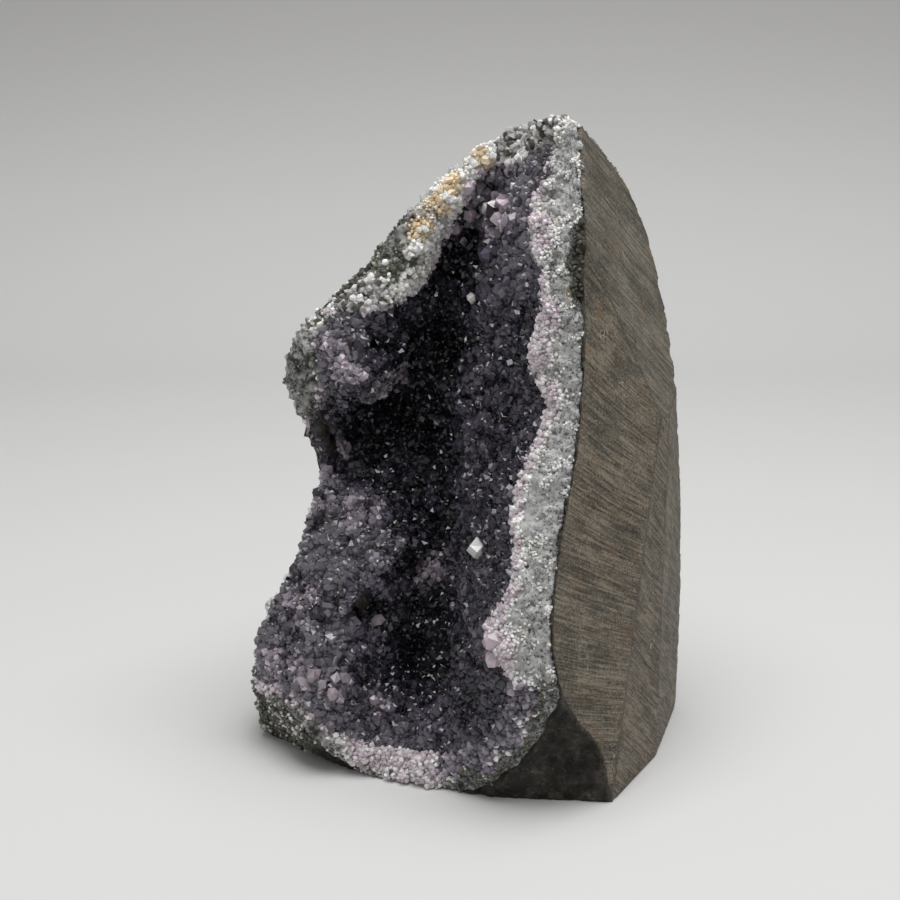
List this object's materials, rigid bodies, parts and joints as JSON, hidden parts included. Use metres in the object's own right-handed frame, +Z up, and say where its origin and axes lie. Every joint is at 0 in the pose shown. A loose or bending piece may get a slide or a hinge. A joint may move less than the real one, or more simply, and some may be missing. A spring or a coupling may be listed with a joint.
{
  "type": "amethyst geode",
  "caption": "Standing wedge of an amethyst geode with a sawn flat base and sawn side faces, a white quartz rind and a hollow lined with small crystals.",
  "frame": {"origin": "middle of the footprint's box, on the surface that the stone stands on", "axes": "+Z up towards the peak, the hollow opens towards -Y, the sawn side faces +X"},
  "size_m": [0.0776, 0.0652, 0.1168],
  "materials": {
    "basalt": "brown-grey sawn basalt with fine saw marks, rough and dark where it is broken",
    "white_quartz": "granular white quartz, speckled grey-green and stained yellow along one rim",
    "amethyst": "glossy purple-grey crystals, paler and pinker on the crests"
  },
  "bodies": {
    "root": {"host_rock": "basalt", "quartz_rind": "white_quartz", "amethyst_druse": "amethyst"}
  },
  "joints": []
}
